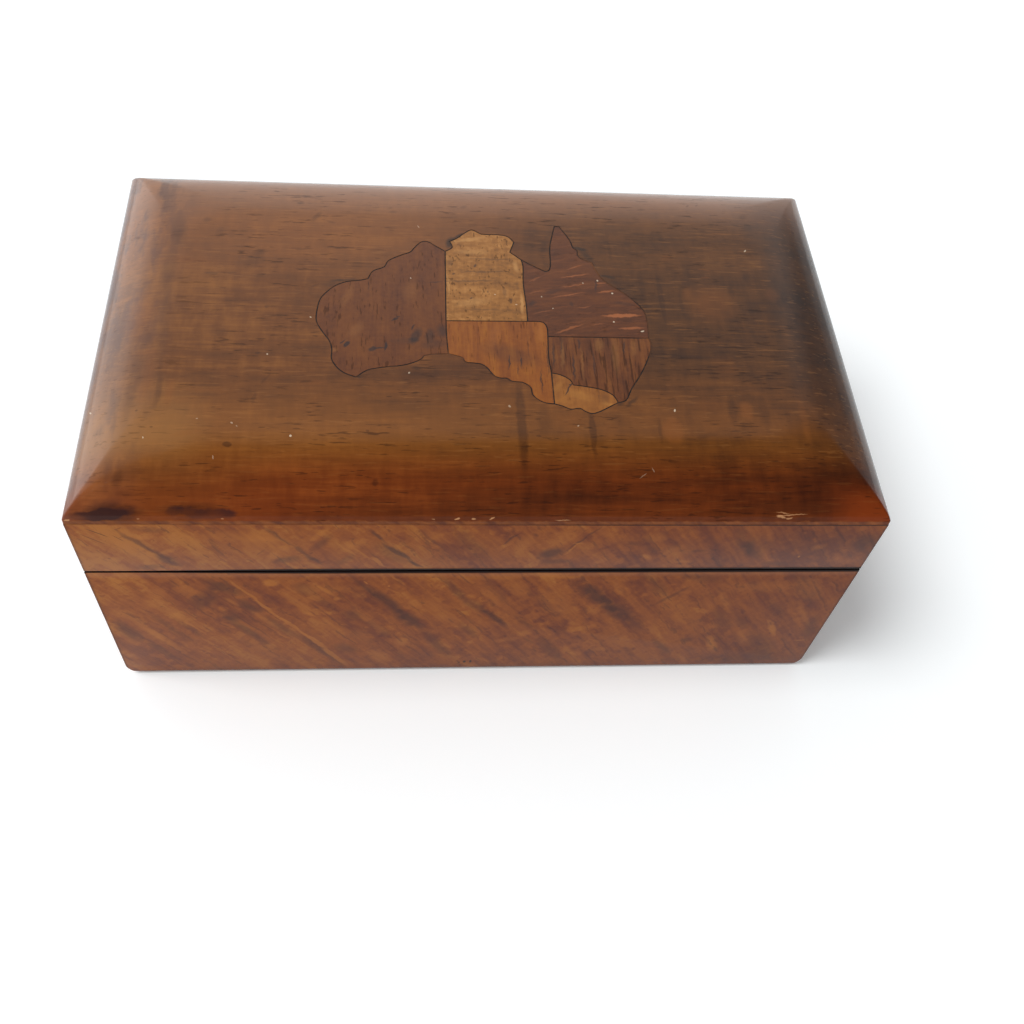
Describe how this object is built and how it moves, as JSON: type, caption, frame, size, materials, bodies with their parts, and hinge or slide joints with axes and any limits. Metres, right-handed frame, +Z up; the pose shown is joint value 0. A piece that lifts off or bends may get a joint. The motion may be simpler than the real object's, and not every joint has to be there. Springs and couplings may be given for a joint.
{
  "type": "hinged wooden box",
  "caption": "Oblong veneered wooden box with a hinged lid; the cushion-moulded top board carries a map let in with specimen timbers.",
  "frame": {"origin": "centre of the base, on the surface the box stands on", "axes": "+X along the length to the right, +Y to the hinged back, +Z up through the lid"},
  "size_m": [0.3, 0.18, 0.1305],
  "materials": {
    "figured_veneer": "old shellac, satin",
    "lid_board": "old shellac, glossy on the slopes",
    "carcase_timber": "planed, unfinished",
    "western_timber": "old shellac, satin",
    "northern_timber": "old shellac, satin",
    "southern_timber": "old shellac, satin",
    "north_eastern_timber": "old shellac, satin",
    "eastern_timber": "old shellac, satin",
    "south_eastern_timber": "old shellac, satin",
    "hinge_brass": "rolled, aged",
    "pin_steel": "drawn wire"
  },
  "bodies": {
    "body": {"body_back_veneer": "figured_veneer", "body_back_wall": "carcase_timber", "body_bottom_board": "carcase_timber", "body_front_veneer": "figured_veneer", "body_front_wall": "carcase_timber", "body_left_veneer": "figured_veneer", "body_left_wall": "carcase_timber", "body_right_veneer": "figured_veneer", "body_right_wall": "carcase_timber", "hinge_left_body_leaf": "hinge_brass", "hinge_left_body_screw_1": "hinge_brass", "hinge_left_body_screw_2": "hinge_brass", "hinge_left_body_screw_3": "hinge_brass", "hinge_left_pin": "pin_steel", "hinge_right_body_leaf": "hinge_brass", "hinge_right_body_screw_1": "hinge_brass", "hinge_right_body_screw_2": "hinge_brass", "hinge_right_body_screw_3": "hinge_brass", "hinge_right_pin": "pin_steel"},
    "lid": {"hinge_left_lid_leaf": "hinge_brass", "hinge_left_lid_screw_1": "hinge_brass", "hinge_left_lid_screw_2": "hinge_brass", "hinge_left_lid_screw_3": "hinge_brass", "hinge_right_lid_leaf": "hinge_brass", "hinge_right_lid_screw_1": "hinge_brass", "hinge_right_lid_screw_2": "hinge_brass", "hinge_right_lid_screw_3": "hinge_brass", "lid_back_veneer": "figured_veneer", "lid_back_wall": "carcase_timber", "lid_front_veneer": "figured_veneer", "lid_front_wall": "carcase_timber", "lid_left_veneer": "figured_veneer", "lid_left_wall": "carcase_timber", "lid_right_veneer": "figured_veneer", "lid_right_wall": "carcase_timber", "lid_top_board": "lid_board", "map_eastern": "eastern_timber", "map_north_eastern": "north_eastern_timber", "map_northern": "northern_timber", "map_south_eastern": "south_eastern_timber", "map_southern": "southern_timber", "map_western": "western_timber"}
  },
  "joints": [
    {"name": "lid_hinge", "type": "hinge", "parent": "body", "child": "lid", "pos_m": [0, 0.0876, 0.0846], "axis": [-1, 0, 0], "range_deg": [0, 100]}
  ]
}
